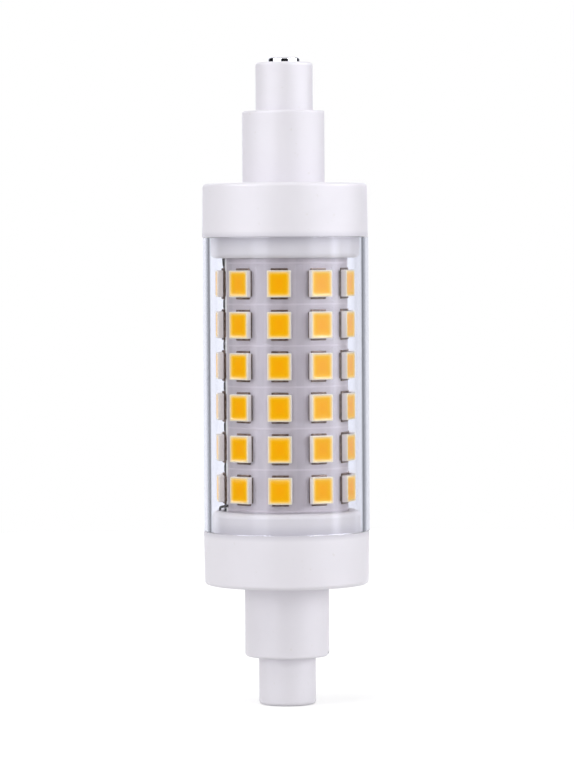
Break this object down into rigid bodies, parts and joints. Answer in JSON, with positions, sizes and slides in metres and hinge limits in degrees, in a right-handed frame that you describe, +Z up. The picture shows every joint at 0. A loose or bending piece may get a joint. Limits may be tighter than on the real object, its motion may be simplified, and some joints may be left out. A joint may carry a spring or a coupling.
{
  "type": "linear led bulb",
  "caption": "Double-ended linear LED bulb with stepped white ceramic end caps, a clear tube and a rolled board of yellow LED packages, for a linear lampholder.",
  "frame": {"origin": "on the lamp's axis at the lower rim, the bottom centre of the part", "axes": "+Z up along the lamp's axis from the lower to the upper contact, front of the lamp towards -Y"},
  "size_m": [0.0201, 0.02, 0.078],
  "materials": {
    "white_ceramic": "satin, unglazed",
    "clear_glass": "clear, polished",
    "contact_metal": "bright nickel plate",
    "white_insulation": "matt",
    "dark_lead": "matt",
    "core_aluminium": "plain drawn tube",
    "board_mask": "white solder mask, slight gloss",
    "package_white": "moulded, slight gloss",
    "yellow_phosphor": "soft silicone, slight gloss",
    "tinned_terminal": "tinned, dull",
    "driver_laminate": "green mask",
    "black_moulding": "matt",
    "ferrite": "matt",
    "capacitor_sleeve": "shrunk sleeve",
    "film_box": "moulded box",
    "resistor_coat": "matt coat"
  },
  "bodies": {
    "root": {"board_lead_lower": "dark_lead", "board_lead_upper": "dark_lead", "bridge_rectifier": "black_moulding", "clear_tube": "clear_glass", "core_tube": "core_aluminium", "driver_board": "driver_laminate", "driver_chip": "black_moulding", "film_capacitor": "film_box", "fusible_resistor": "resistor_coat", "inductor": "ferrite", "led_board": "board_mask", "led_column_1": "package_white", "led_column_10": "package_white", "led_column_2": "package_white", "led_column_3": "package_white", "led_column_4": "package_white", "led_column_5": "package_white", "led_column_6": "package_white", "led_column_7": "package_white", "led_column_8": "package_white", "led_column_9": "package_white", "led_terminals_1": "tinned_terminal", "led_terminals_10": "tinned_terminal", "led_terminals_2": "tinned_terminal", "led_terminals_3": "tinned_terminal", "led_terminals_4": "tinned_terminal", "led_terminals_5": "tinned_terminal", "led_terminals_6": "tinned_terminal", "led_terminals_7": "tinned_terminal", "led_terminals_8": "tinned_terminal", "led_terminals_9": "tinned_terminal", "lower_contact": "contact_metal", "lower_end_cap": "white_ceramic", "lower_lead": "white_insulation", "phosphor_column_1": "yellow_phosphor", "phosphor_column_10": "yellow_phosphor", "phosphor_column_2": "yellow_phosphor", "phosphor_column_3": "yellow_phosphor", "phosphor_column_4": "yellow_phosphor", "phosphor_column_5": "yellow_phosphor", "phosphor_column_6": "yellow_phosphor", "phosphor_column_7": "yellow_phosphor", "phosphor_column_8": "yellow_phosphor", "phosphor_column_9": "yellow_phosphor", "sense_resistors": "black_moulding", "smoothing_capacitor": "capacitor_sleeve", "upper_contact": "contact_metal", "upper_end_cap": "white_ceramic", "upper_lead": "white_insulation"}
  },
  "joints": []
}
